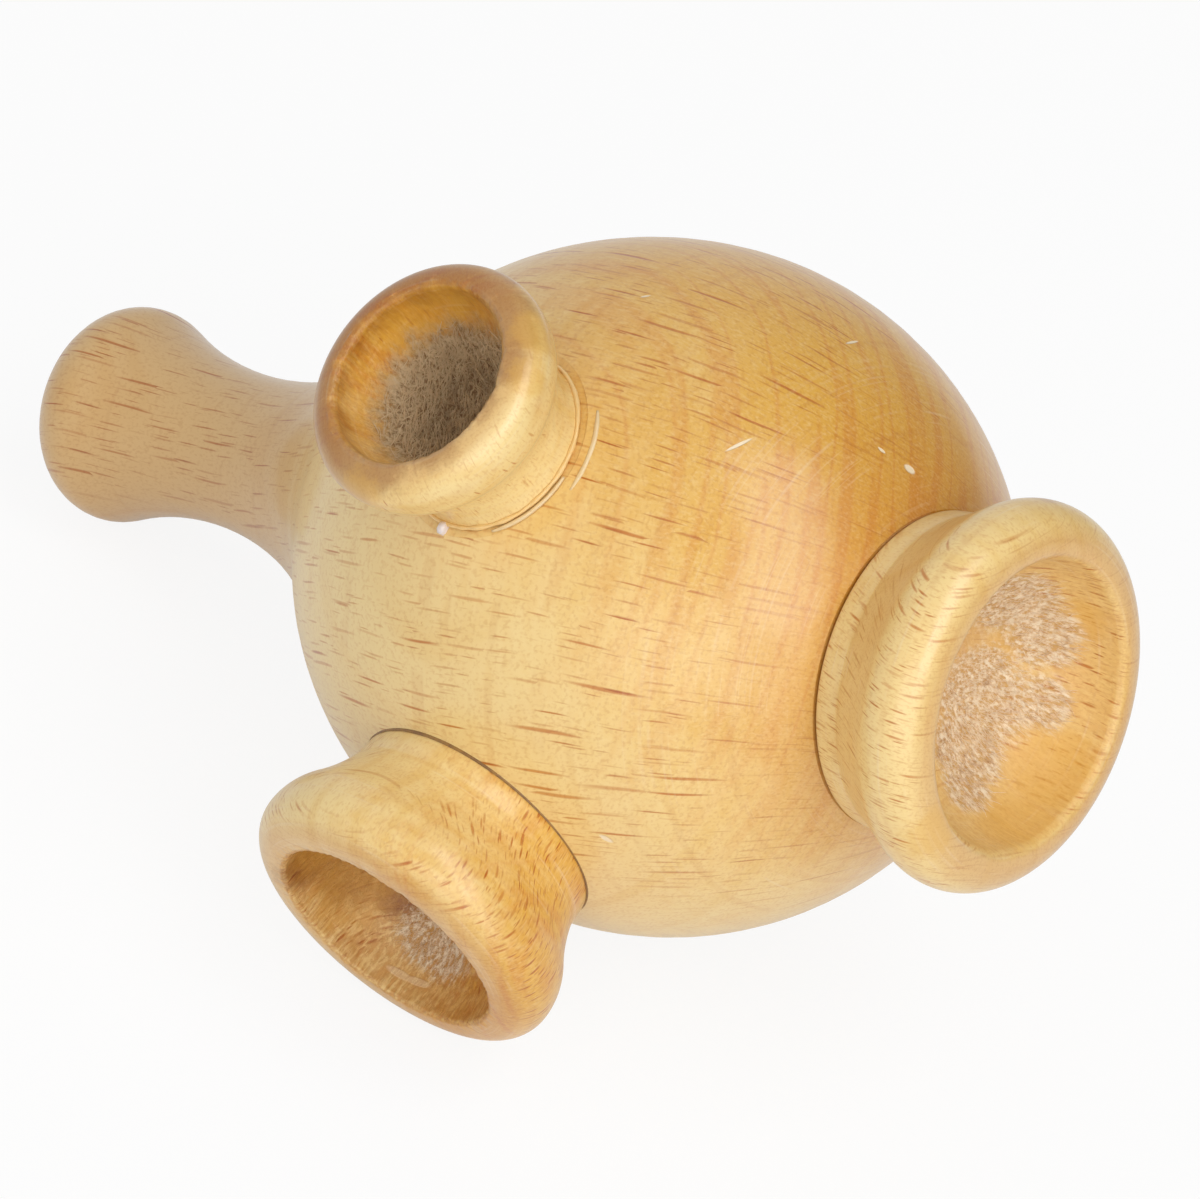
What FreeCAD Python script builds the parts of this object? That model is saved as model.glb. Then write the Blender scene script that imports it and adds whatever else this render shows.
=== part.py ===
import FreeCAD, Part
import math
import os
import Sketcher

# A turned beech ball with a neck and knob in one piece, and a hollow cup glued into each
# of three sockets. The ball's centre is the working origin of every placement.
# Lengths are in millimetres and angles in degrees.

SIZES = [
    # the turned body: ball, drawn-out shoulder, neck and knob
    ("ball_radius", 27.35),
    ("front_radius", 29.3),
    ("shoulder_radius", 33.95),
    ("neck_radius", 6.6),
    ("neck_place", 47.1),
    ("knob_radius", 9.3),
    ("knob_round", 4.25),
    ("knob_dome_height", 1.88),
    # the large cup, on the body's own axis
    ("large_foot_radius", 12.5),
    ("large_waist_radius", 12.05),
    ("large_lip_radius", 15.2),
    ("large_lip_height", 7.65),
    ("large_under_round", 3.5),
    ("large_over_round", 3.1),
    ("large_mouth_radius", 11.3),
    ("large_bowl_depth", 10.0),
    ("large_flank_radius", 34),
    ("large_spigot_radius", 6.0),
    ("large_spigot_length", 8.0),
    ("large_bead_radius", 0.0),
    ("large_film", 0.25),
    # the medium cup, on the side
    ("medium_foot_radius", 10.3),
    ("medium_waist_radius", 10.2),
    ("medium_lip_radius", 13.3),
    ("medium_lip_height", 9.1),
    ("medium_under_round", 5.6),
    ("medium_over_round", 2.95),
    ("medium_mouth_radius", 9.5),
    ("medium_bowl_depth", 9.6),
    ("medium_flank_radius", 13.3),
    ("medium_spigot_radius", 5.0),
    ("medium_spigot_length", 7.5),
    ("medium_bead_radius", 0.12),
    ("medium_film", 0.12),
    # the small cup, on the side
    ("small_foot_radius", 7.75),
    ("small_waist_radius", 7.55),
    ("small_lip_radius", 9.95),
    ("small_lip_height", 8.9),
    ("small_under_round", 4.6),
    ("small_over_round", 2.4),
    ("small_mouth_radius", 7.1),
    ("small_bowl_depth", 8.2),
    ("small_flank_radius", 4.2),
    ("small_spigot_radius", 4.0),
    ("small_spigot_length", 7.0),
    ("small_bead_radius", 0.3),
    ("small_film", 0.12),
    # shared fits and small rounds
    ("collar_height", 0.8),
    ("mouth_round", 0.2),
    ("spigot_clearance", 0.06),
    ("socket_spare_depth", 0.8),
    ("spigot_bevel", 0.6),
    # how the cups stand round the body, and how the whole lies on a table
    ("medium_cup_angle", -28.114),
    ("between_cups_angle", 72.7),
    ("rest_tilt", 17.951),
]

CUPS = ("large", "medium", "small")

doc = FreeCAD.newDocument("CuppedBall")
sheet = doc.addObject("Spreadsheet::Sheet", "Sizes")
for row, (alias, value) in enumerate(SIZES, start=1):
    sheet.set(f"A{row}", alias)
    sheet.set(f"B{row}", str(value))
    sheet.setAlias(f"B{row}", alias)
doc.recompute()


def size(alias):
    """A driving size, read from the sheet."""
    return float(sheet.get(alias))


def plane(body, role):
    """One of the body's own origin planes."""
    return next(item for item in body.Origin.OriginFeatures if item.Role == role)


def new_sketch(body, name, role, offset=None):
    sketch = body.newObject("Sketcher::SketchObject", name)
    sketch.AttachmentSupport = [(plane(body, role), "")]
    sketch.MapMode = "FlatFace"
    if offset is not None:
        sketch.AttachmentOffset = offset
    return sketch


def point(x, y):
    return FreeCAD.Vector(x, y, 0)


def line(start, end):
    return Part.LineSegment(start, end)


def arc(centre, start, end):
    """The counter-clockwise arc about centre from start to end."""
    first = math.atan2(start.y - centre.y, start.x - centre.x)
    last = math.atan2(end.y - centre.y, end.x - centre.x)
    if last < first:
        last += 2 * math.pi
    normal = FreeCAD.Vector(0, 0, 1)
    return Part.ArcOfCircle(Part.Circle(centre, normal, (start - centre).Length), first, last)


def between(start, end, share):
    return start + (end - start) * share


def fix(sketch, kind, *target, driver=None):
    """Adds a constraint; with a driver, its value follows that expression."""
    index = sketch.addConstraint(Sketcher.Constraint(kind, *target))
    if driver is not None:
        sketch.setExpression(f"Constraints[{index}]", driver)
    return index


def revolve(body, sketch, name):
    turned = body.newObject("PartDesign::Revolution", name)
    turned.Profile = sketch
    turned.ReferenceAxis = (sketch, ["V_Axis"])
    turned.Angle = 360
    sketch.Visibility = False
    body.Tip = turned
    doc.recompute()
    return turned


def draw_body_outline(sketch):
    """Half the turned body: ball, shoulder, neck, knob and its domed end, closed by the axis."""
    ball = size("ball_radius")
    front = size("front_radius")
    shoulder = size("shoulder_radius")
    neck_place = size("neck_place")
    knob_round = size("knob_round")
    front_centre = point(ball - front, 0)
    shoulder_centre = point(ball - shoulder, 0)
    # the neck's hollow just touches the shoulder, which sets its radius
    reach = size("neck_radius") - shoulder_centre.x
    neck_hollow = (neck_place**2 + reach**2 - shoulder**2) / (2 * (shoulder - reach))
    neck_centre = point(size("neck_radius") + neck_hollow, -neck_place)
    knob_x = size("knob_radius") - knob_round
    span = neck_hollow + knob_round
    knob_centre = point(knob_x, -neck_place - math.sqrt(span**2 - (neck_centre.x - knob_x) ** 2))
    # the domed end runs into the knob's round
    rise = knob_round + size("knob_dome_height")
    knob_end = rise - knob_centre.y
    dome = (knob_x**2 + rise**2 - knob_round**2) / (2 * (rise - knob_round))
    dome_centre = point(0, dome - knob_end)

    equator = point(ball, 0)
    pole = point(0, math.sqrt(front**2 - front_centre.x**2))
    shoulder_share = shoulder / (shoulder + neck_hollow)
    shoulder_foot = between(shoulder_centre, neck_centre, shoulder_share)
    knob_start = between(neck_centre, knob_centre, neck_hollow / span)
    dome_start = between(dome_centre, knob_centre, dome / (dome - knob_round))
    knob_pole = point(0, -knob_end)

    front_arc = sketch.addGeometry(arc(front_centre, equator, pole))
    shoulder_arc = sketch.addGeometry(arc(shoulder_centre, shoulder_foot, equator))
    neck_arc = sketch.addGeometry(arc(neck_centre, shoulder_foot, knob_start))
    knob_arc = sketch.addGeometry(arc(knob_centre, dome_start, knob_start))
    dome_arc = sketch.addGeometry(arc(dome_centre, knob_pole, dome_start))
    axis = sketch.addGeometry(line(knob_pole, pole))
    waist_point = sketch.addGeometry(Part.Point(point(size("neck_radius"), -neck_place)), True)
    widest_point = sketch.addGeometry(Part.Point(point(size("knob_radius"), knob_centre.y)), True)

    fix(sketch, "PointOnObject", front_arc, 3, -1)
    fix(sketch, "PointOnObject", front_arc, 1, -1)
    fix(sketch, "Coincident", front_arc, 2, axis, 2)
    fix(sketch, "Radius", front_arc, front, driver="Sizes.front_radius")
    fix(sketch, "DistanceX", -1, 1, front_arc, 1, ball, driver="Sizes.ball_radius")
    fix(sketch, "Coincident", shoulder_arc, 2, front_arc, 1)
    fix(sketch, "PointOnObject", shoulder_arc, 3, -1)
    fix(sketch, "Radius", shoulder_arc, shoulder, driver="Sizes.shoulder_radius")
    fix(sketch, "Tangent", shoulder_arc, 1, neck_arc, 1)
    fix(sketch, "DistanceY", neck_arc, 3, -1, 1, neck_place, driver="Sizes.neck_place")
    fix(sketch, "PointOnObject", waist_point, 1, neck_arc)
    fix(sketch, "Horizontal", waist_point, 1, neck_arc, 3)
    fix(sketch, "DistanceX", -1, 1, waist_point, 1, size("neck_radius"), driver="Sizes.neck_radius")
    fix(sketch, "Tangent", neck_arc, 2, knob_arc, 2)
    fix(sketch, "Radius", knob_arc, knob_round, driver="Sizes.knob_round")
    fix(sketch, "PointOnObject", widest_point, 1, knob_arc)
    fix(sketch, "Horizontal", widest_point, 1, knob_arc, 3)
    fix(sketch, "DistanceX", -1, 1, widest_point, 1, size("knob_radius"), driver="Sizes.knob_radius")
    fix(sketch, "Tangent", knob_arc, 1, dome_arc, 2)
    fix(sketch, "PointOnObject", dome_arc, 3, -2)
    fix(sketch, "Coincident", dome_arc, 1, axis, 1)
    fix(sketch, "PointOnObject", axis, 1, -2)
    fix(sketch, "PointOnObject", axis, 2, -2)
    rise_driver = "Sizes.knob_round + Sizes.knob_dome_height"
    fix(sketch, "DistanceY", axis, 1, widest_point, 1, rise, driver=rise_driver)


def seat_radius(cup):
    """The flat cut in the ball for a cup's foot, with room for its bead of glue."""
    return size(f"{cup}_foot_radius") + size(f"{cup}_bead_radius")


def seat_height(cup):
    """How far a cup's flat lies from the ball's centre, its edge just meeting the ball."""
    if cup == "large":
        front = size("front_radius")
        return math.sqrt(front**2 - (seat_radius(cup) + front - size("ball_radius")) ** 2)
    return math.sqrt(size("ball_radius") ** 2 - seat_radius(cup) ** 2)


def elevation(cup):
    """A side cup's angle above the table, turned about the body's axis."""
    return size("medium_cup_angle") + (size("between_cups_angle") if cup == "small" else 0)


def cut(body, name, sketch, length_driver, outward):
    """A pocket that must take material away."""
    before = body.Shape.Volume
    pocket = body.newObject("PartDesign::Pocket", name)
    pocket.Profile = sketch
    pocket.Type = "Length"
    pocket.setExpression("Length", length_driver)
    pocket.Reversed = outward
    sketch.Visibility = False
    body.Tip = pocket
    doc.recompute()
    if body.Shape.Volume >= before:
        raise RuntimeError(f"{name} cut nothing")


def cut_socket(body, cup):
    """A flat on the ball for the cup's foot, then a blind hole for its spigot."""
    if cup == "large":
        role = "XY_Plane"
        offset = FreeCAD.Placement(point(0, 0) + FreeCAD.Vector(0, 0, seat_height(cup)), FreeCAD.Rotation())
    else:
        role = "XZ_Plane"
        turn = FreeCAD.Rotation(FreeCAD.Vector(0, 1, 0), -elevation(cup))
        offset = FreeCAD.Placement(turn.multVec(FreeCAD.Vector(0, 0, seat_height(cup))), turn)
    for kind, radius, driver, length, outward in (
        (
            "seat",
            seat_radius(cup),
            f"Sizes.{cup}_foot_radius + Sizes.{cup}_bead_radius",
            "Sizes.ball_radius",
            True,
        ),
        (
            "socket",
            size(f"{cup}_spigot_radius") + size("spigot_clearance"),
            f"Sizes.{cup}_spigot_radius + Sizes.spigot_clearance",
            f"Sizes.{cup}_spigot_length + Sizes.socket_spare_depth",
            False,
        ),
    ):
        sketch = new_sketch(body, f"{cup}_{kind}_circle", role, offset)
        circle = Part.Circle(point(0, 0), FreeCAD.Vector(0, 0, 1), radius)
        ring = sketch.addGeometry(circle)
        fix(sketch, "Coincident", ring, 3, -1, 1)
        fix(sketch, "Radius", ring, radius, driver=driver)
        doc.recompute()
        cut(body, f"{cup}_{kind}", sketch, length, outward)


def make_body():
    body = doc.addObject("PartDesign::Body", "turned_body")
    body.Label = "turned_body"
    outline = new_sketch(body, "body_outline", "XZ_Plane")
    draw_body_outline(outline)
    doc.recompute()
    revolve(body, outline, "body_turning")
    for cup in CUPS:
        cut_socket(body, cup)
    return body


def draw_cup_outline(sketch, cup):
    """Half a cup: spigot, foot, collar, hollow flank, rolled lip, flat rim and round bowl."""

    def own(name):
        return size(f"{cup}_{name}")

    def driver(name):
        return f"Sizes.{cup}_{name}"

    collar = size("collar_height")
    bevel = size("spigot_bevel")
    under = own("under_round")
    over = own("over_round")
    flank = own("flank_radius")
    lip_height = own("lip_height")
    rim_height = lip_height + over
    bowl_depth = own("bowl_depth")
    bowl = (own("mouth_radius") ** 2 + bowl_depth**2) / (2 * bowl_depth)

    bowl_bottom = point(0, rim_height - bowl_depth)
    spigot_pole = point(0, -own("spigot_length"))
    spigot_rim = point(own("spigot_radius") - bevel, -own("spigot_length"))
    spigot_side = point(own("spigot_radius"), bevel - own("spigot_length"))
    spigot_root = point(own("spigot_radius"), 0)
    foot_edge = point(own("foot_radius"), 0)
    collar_edge = point(own("foot_radius"), collar)
    waist = point(own("waist_radius"), collar)
    under_centre = point(own("lip_radius") - under, lip_height)
    over_centre = point(own("lip_radius") - over, lip_height)
    widest = point(own("lip_radius"), lip_height)
    rim_outer = point(over_centre.x, rim_height)
    mouth = point(own("mouth_radius"), rim_height)
    # the flank's hollow runs through the waist and just touches the lip's under side
    chord = under_centre - waist
    along = (flank**2 - (flank + under) ** 2 + chord.Length**2) / (2 * chord.Length)
    aside = math.sqrt(flank**2 - along**2)
    unit = chord / chord.Length
    flank_centre = waist + unit * along + point(unit.y, -unit.x) * aside
    flank_top = between(flank_centre, under_centre, flank / (flank + under))

    corners = [bowl_bottom, spigot_pole, spigot_rim, spigot_side, spigot_root, foot_edge, collar_edge, waist]
    lines = [sketch.addGeometry(line(a, b)) for a, b in zip(corners, corners[1:])]
    axis, spigot_end, bevel_line, spigot_wall, foot, collar_line, step = lines
    flank_arc = sketch.addGeometry(arc(flank_centre, flank_top, waist))
    under_arc = sketch.addGeometry(arc(under_centre, flank_top, widest))
    over_arc = sketch.addGeometry(arc(over_centre, widest, rim_outer))
    rim = sketch.addGeometry(line(rim_outer, mouth))
    bowl_arc = sketch.addGeometry(arc(bowl_bottom + point(0, bowl), bowl_bottom, mouth))

    for first, second in zip(lines, lines[1:]):
        fix(sketch, "Coincident", first, 2, second, 1)
    fix(sketch, "Coincident", step, 2, flank_arc, 2)
    fix(sketch, "Tangent", flank_arc, 1, under_arc, 1)
    fix(sketch, "Tangent", under_arc, 2, over_arc, 1)
    fix(sketch, "Coincident", over_arc, 2, rim, 1)
    fix(sketch, "Coincident", rim, 2, bowl_arc, 2)
    fix(sketch, "Coincident", bowl_arc, 1, axis, 1)
    for level in (spigot_end, foot, step, rim):
        fix(sketch, "Horizontal", level)
    for upright in (spigot_wall, collar_line):
        fix(sketch, "Vertical", upright)
    fix(sketch, "PointOnObject", axis, 1, -2)
    fix(sketch, "PointOnObject", axis, 2, -2)
    fix(sketch, "PointOnObject", foot, 1, -1)
    fix(sketch, "PointOnObject", bowl_arc, 3, -2)
    fix(sketch, "Horizontal", under_arc, 3, under_arc, 2)
    fix(sketch, "Vertical", over_arc, 3, over_arc, 2)
    fix(sketch, "DistanceY", axis, 2, -1, 1, own("spigot_length"), driver=driver("spigot_length"))
    fix(sketch, "DistanceX", -1, 1, spigot_wall, 2, own("spigot_radius"), driver=driver("spigot_radius"))
    fix(sketch, "DistanceX", bevel_line, 1, bevel_line, 2, bevel, driver="Sizes.spigot_bevel")
    fix(sketch, "DistanceY", bevel_line, 1, bevel_line, 2, bevel, driver="Sizes.spigot_bevel")
    fix(sketch, "DistanceX", -1, 1, foot, 2, own("foot_radius"), driver=driver("foot_radius"))
    fix(sketch, "DistanceY", -1, 1, collar_line, 2, collar, driver="Sizes.collar_height")
    fix(sketch, "DistanceX", -1, 1, step, 2, own("waist_radius"), driver=driver("waist_radius"))
    fix(sketch, "Radius", flank_arc, flank, driver=driver("flank_radius"))
    fix(sketch, "Radius", under_arc, under, driver=driver("under_round"))
    fix(sketch, "DistanceY", -1, 1, under_arc, 2, lip_height, driver=driver("lip_height"))
    fix(sketch, "DistanceX", -1, 1, under_arc, 2, own("lip_radius"), driver=driver("lip_radius"))
    fix(sketch, "Radius", over_arc, over, driver=driver("over_round"))
    fix(sketch, "DistanceX", -1, 1, rim, 2, own("mouth_radius"), driver=driver("mouth_radius"))
    fix(sketch, "DistanceY", bowl_arc, 1, rim, 2, bowl_depth, driver=driver("bowl_depth"))


def mouth_edge(shape, radius, height):
    """The name of the circular edge where the bowl meets the flat rim."""
    best = None
    for index, edge in enumerate(shape.Edges, start=1):
        if edge.Degenerated or not isinstance(edge.Curve, Part.Circle):
            continue
        curve = edge.Curve
        error = abs(curve.Radius - radius) + abs(curve.Center.z - height)
        if best is None or error < best[0]:
            best = (error, f"Edge{index}")
    return best[1]


def make_cup(cup):
    body = doc.addObject("PartDesign::Body", f"{cup}_cup")
    body.Label = f"{cup}_cup"
    outline = new_sketch(body, f"{cup}_cup_outline", "XZ_Plane")
    draw_cup_outline(outline, cup)
    doc.recompute()
    turned = revolve(body, outline, f"{cup}_cup_turning")
    rim_height = size(f"{cup}_lip_height") + size(f"{cup}_over_round")
    round_over = body.newObject("PartDesign::Fillet", f"{cup}_mouth_round")
    round_over.Base = (turned, [mouth_edge(turned.Shape, size(f"{cup}_mouth_radius"), rim_height)])
    round_over.setExpression("Radius", "Sizes.mouth_round")
    body.Tip = round_over
    doc.recompute()
    return body


def make_glue(cup):
    """Cured glue under a cup's foot, with a bead round the foot where the seat leaves room."""
    body = doc.addObject("PartDesign::Body", f"{cup}_glue")
    body.Label = f"{cup}_glue"
    section = new_sketch(body, f"{cup}_glue_section", "XZ_Plane")
    film = size(f"{cup}_film")
    bead = size(f"{cup}_bead_radius")
    foot = size(f"{cup}_foot_radius")
    margin = size("spigot_bevel")
    inner = size(f"{cup}_spigot_radius") + margin
    inner_driver = f"Sizes.{cup}_spigot_radius + Sizes.spigot_bevel"
    film_driver = f"Sizes.{cup}_film"
    inside_low = point(inner, 0)
    inside_top = point(inner, film)
    if bead > 0:
        outer_driver = f"Sizes.{cup}_foot_radius + Sizes.{cup}_bead_radius"
        outside_low = point(foot + bead, 0)
        foot_low = point(foot, film)
        bead_top = point(foot, film + bead)
        outside_top = point(foot + bead, film)
        bottom = section.addGeometry(line(inside_low, outside_low))
        wall = section.addGeometry(line(outside_low, outside_top))
        round_arc = section.addGeometry(arc(foot_low, outside_top, bead_top))
        foot_side = section.addGeometry(line(bead_top, foot_low))
        top = section.addGeometry(line(foot_low, inside_top))
        inside = section.addGeometry(line(inside_top, inside_low))
        chain = [(bottom, 2), (wall, 1), (wall, 2), (round_arc, 1), (round_arc, 2), (foot_side, 1)]
        chain += [(foot_side, 2), (top, 1), (top, 2), (inside, 1), (inside, 2), (bottom, 1)]
        fix(section, "Vertical", foot_side)
        fix(section, "Coincident", round_arc, 3, foot_side, 2)
        fix(section, "DistanceX", foot_side, 2, wall, 2, bead, driver=f"Sizes.{cup}_bead_radius")
    else:
        outer_driver = f"Sizes.{cup}_foot_radius - Sizes.spigot_bevel"
        outside_low = point(foot - margin, 0)
        outside_top = point(foot - margin, film)
        bottom = section.addGeometry(line(inside_low, outside_low))
        wall = section.addGeometry(line(outside_low, outside_top))
        top = section.addGeometry(line(outside_top, inside_top))
        inside = section.addGeometry(line(inside_top, inside_low))
        chain = [(bottom, 2), (wall, 1), (wall, 2), (top, 1), (top, 2), (inside, 1), (inside, 2), (bottom, 1)]
    for first, second in zip(chain[::2], chain[1::2]):
        fix(section, "Coincident", *first, *second)
    for upright in (wall, inside):
        fix(section, "Vertical", upright)
    for level in (bottom, top):
        fix(section, "Horizontal", level)
    fix(section, "PointOnObject", bottom, 1, -1)
    fix(section, "DistanceX", -1, 1, inside, 2, inner, driver=inner_driver)
    fix(section, "DistanceX", -1, 1, bottom, 2, outside_low.x, driver=outer_driver)
    fix(section, "DistanceY", inside, 2, inside, 1, film, driver=film_driver)
    doc.recompute()
    revolve(body, section, f"{cup}_glue_turning")
    return body


def along_body(cup, distance):
    """Where something of a cup sits in the body's frame, distance out from the ball's centre."""
    if cup == "large":
        return FreeCAD.Placement(FreeCAD.Vector(0, 0, distance), FreeCAD.Rotation())
    angle = math.radians(elevation(cup))
    outward = FreeCAD.Vector(-math.sin(angle), -math.cos(angle), 0)
    axis = FreeCAD.Vector(0, 0, 1)
    turn = FreeCAD.Rotation(axis, outward.cross(axis), outward, "ZXY")
    return FreeCAD.Placement(outward * distance, turn)


nodes = {"turned_body": (make_body(), FreeCAD.Placement())}
for cup in CUPS:
    seat = seat_height(cup)
    nodes[f"{cup}_glue"] = (make_glue(cup), along_body(cup, seat))
    nodes[f"{cup}_cup"] = (make_cup(cup), along_body(cup, seat + size(f"{cup}_film")))

# The whole lies on the knob, the ball and the medium cup's lip: the axis is laid along X,
# then its large-cup end is lifted by the resting tilt.
lay = FreeCAD.Placement(FreeCAD.Vector(), FreeCAD.Rotation(FreeCAD.Vector(0, 1, 0), 90 - size("rest_tilt")))
for body, seating in nodes.values():
    body.Placement = lay.multiply(seating)
doc.recompute()

# The origin is under the middle of the whole, on the table.
boxes = [body.Shape.optimalBoundingBox(True, False) for body, seating in nodes.values()]
middle_x = (min(box.XMin for box in boxes) + max(box.XMax for box in boxes)) / 2
middle_y = (min(box.YMin for box in boxes) + max(box.YMax for box in boxes)) / 2
table = min(box.ZMin for box in boxes)
shift = FreeCAD.Placement(FreeCAD.Vector(-middle_x, -middle_y, -table), FreeCAD.Rotation())
for body, seating in nodes.values():
    body.Placement = shift.multiply(body.Placement)
doc.recompute()

for item in doc.Objects:
    if "Invalid" in item.State or "Error" in item.State:
        raise RuntimeError(f"{item.Label} is {item.State}")

os.makedirs("parts", exist_ok=True)
for name, (body, seating) in nodes.items():
    shape = body.Shape
    if shape.isNull() or not shape.isValid() or len(shape.Solids) != 1:
        raise RuntimeError(f"{name} has no valid solid")
    shape.exportStep(f"parts/{name}.step")
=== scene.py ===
import math
import random

import bpy
from bpy.props import (
    EnumProperty, FloatProperty, FloatVectorProperty, IntProperty, IntVectorProperty,
    PointerProperty,
)
from mathutils import Matrix, Vector


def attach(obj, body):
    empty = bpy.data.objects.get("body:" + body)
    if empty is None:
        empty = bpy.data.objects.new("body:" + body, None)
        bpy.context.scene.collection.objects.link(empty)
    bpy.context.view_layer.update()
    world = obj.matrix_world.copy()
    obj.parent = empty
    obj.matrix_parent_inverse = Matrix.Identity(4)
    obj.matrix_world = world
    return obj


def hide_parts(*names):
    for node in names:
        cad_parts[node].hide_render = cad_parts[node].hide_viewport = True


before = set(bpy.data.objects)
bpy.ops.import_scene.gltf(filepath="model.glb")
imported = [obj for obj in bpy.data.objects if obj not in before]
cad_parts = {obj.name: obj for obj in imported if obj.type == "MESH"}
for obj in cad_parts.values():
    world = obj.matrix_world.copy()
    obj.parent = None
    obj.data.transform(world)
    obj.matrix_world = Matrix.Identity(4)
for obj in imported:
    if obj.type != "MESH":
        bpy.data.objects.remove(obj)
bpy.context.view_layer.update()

bl_info = {
    "name": "Cupped Ball Finish",
    "version": (1, 0, 0),
    "blender": (4, 5, 0),
    "location": "3D View > Sidebar > Cupped Ball",
    "description": "Turns the cups of a beech ball, finishes wood and glue, and sets the studio",
    "category": "Object",
}

CUPS = ("large", "medium", "small")
MM = 0.001

# How the object lies: the body's axis rises from the knob to the large cup, and the two side
# cups stand square to it. Angles in radians, lengths in metres.
REST_TILT = math.radians(17.951)
MEDIUM_CUP_ANGLE = math.radians(-28.114)
BETWEEN_CUPS_ANGLE = math.radians(72.7)
BALL_CENTRE = Vector((0.012643, 0.005457, 0.027671))
BALL_RADIUS = 0.02735
SEAT_HEIGHT = {"large": 0.025742, "medium": 0.025411, "small": 0.026263}

BODY_AXIS = Vector((math.cos(REST_TILT), 0.0, math.sin(REST_TILT)))
UP = Vector((0.0, 0.0, 1.0))


def cup_axis(cup):
    """The outward direction of a cup."""
    if cup == "large":
        return BODY_AXIS.copy()
    angle = MEDIUM_CUP_ANGLE + (BETWEEN_CUPS_ANGLE if cup == "small" else 0.0)
    square = Vector((0.0, -math.cos(angle), math.sin(angle)))
    return Matrix.Rotation(-REST_TILT, 3, "Y") @ square


def upright(axis, side):
    """A turn that takes +Z to the axis and +X as near to side as that allows."""
    z = axis.normalized()
    x = (side - z * side.dot(z)).normalized()
    return Matrix((x, z.cross(x), z)).transposed()


def cup_place(cup):
    """Where a cup's own frame stands: its foot's centre, with +Z out of the ball."""
    axis = cup_axis(cup)
    spot = BALL_CENTRE + axis * SEAT_HEIGHT[cup]
    side = UP if cup == "large" else BODY_AXIS
    return Matrix.Translation(spot) @ upright(axis, side).to_4x4()


# The body's own frame: the ball's centre, with +Z along the axis towards the large cup.
BODY_PLACE = Matrix.Translation(BALL_CENTRE) @ upright(BODY_AXIS, UP).to_4x4()


def grain(fibre, across):
    """The turn of a blank's grain: X along the fibres, Y along the rays, Z across the rays."""
    x = fibre.normalized()
    z = (across - x * across.dot(x)).normalized()
    return Matrix((x, z.cross(x), z)).transposed()


GRAIN = {
    "body": grain(Vector((0.9235, 0.0274, 0.3825)), Vector((0.2655, -0.5080, -0.8194))),
    "large": grain(Vector((0.9827, 0.1815, 0.0380)), Vector((-0.0634, 0.1364, 0.9886))),
    "medium": grain(cup_axis("medium"), Vector((-0.1217, -0.4656, 0.8766))),
    "small": grain(cup_axis("small"), Vector((0.62, 0.40, 0.67))),
}

# What differs from piece to piece, in millimetres and in the piece's own frame. "pith" is how far
# behind the piece's middle the tree's pith lay. The next is the way towards the side that is
# painted darker amber, and the two depths between which it turns so: partly the wood's own uneven
# tone, partly painted shade, with painted light on the paler side. "bold" and "fine" are the two
# kinds of ray fleck: their spacing and their half-size along the fibres, along the rays and across
# the rays, and how much the palest and the darkest of them show.
LOOKS = {
    "body": {
        "pith": 38.0,
        "amber_and_shade_side": ((0.492, -0.616, 0.615), -16.0, 20.0),
        "bold": ((4.8, 7.0, 0.9), (2.9, 6.0, 0.105), 0.35, 1.0),
        "fine": ((2.6, 3.5, 0.62), (1.4, 3.0, 0.07), 0.1, 0.75),
    },
    "large": {
        "pith": 90.0,
        "amber_and_shade_side": ((-0.25, -0.62, 0.2), -30.0, 64.0),
        "bold": ((1.9, 5.0, 0.62), (1.0, 4.2, 0.13), 0.35, 1.0),
        "fine": ((1.3, 3.0, 0.42), (0.65, 2.6, 0.07), 0.1, 0.7),
    },
    "medium": {
        "pith": 90.0,
        "amber_and_shade_side": ((0.93, -0.30, -0.10), -6.0, 12.0),
        "bold": ((1.4, 5.0, 0.55), (0.8, 4.2, 0.12), 0.4, 1.0),
        "fine": ((1.1, 3.0, 0.4), (0.55, 2.6, 0.07), 0.15, 0.8),
    },
    "small": {
        "pith": 90.0,
        "amber_and_shade_side": ((-0.80, 0.55, 0.10), -10.0, 9.0),
        "bold": ((3.0, 5.0, 1.6), (0.8, 4.0, 0.12), 0.2, 0.9),
        "fine": ((1.8, 3.0, 0.6), (0.6, 2.6, 0.05), 0.05, 0.4),
    },
}

# Chips in the ball's varnish, in millimetres: both ends in the object's frame, and half the width.
NICKS = (
    ((22.5, -5.8, 51.3), (23.0, -3.8, 51.9), 0.13),
    ((28.2, 5.2, 50.9), (28.7, 5.5, 50.6), 0.13),
    ((20.2, 9.9, 54.3), (20.2, 11.4, 54.0), 0.12),
    ((7.3, -0.1, 54.6), (7.8, 0.6, 54.8), 0.14),
    ((29.9, 6.7, 49.7), (30.5, 7.3, 49.2), 0.30),
    ((27.9, -17.3, 23.0), (28.8, -16.8, 22.6), 0.22),
)
VARNISH_WEIGHT = 0.6
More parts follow.
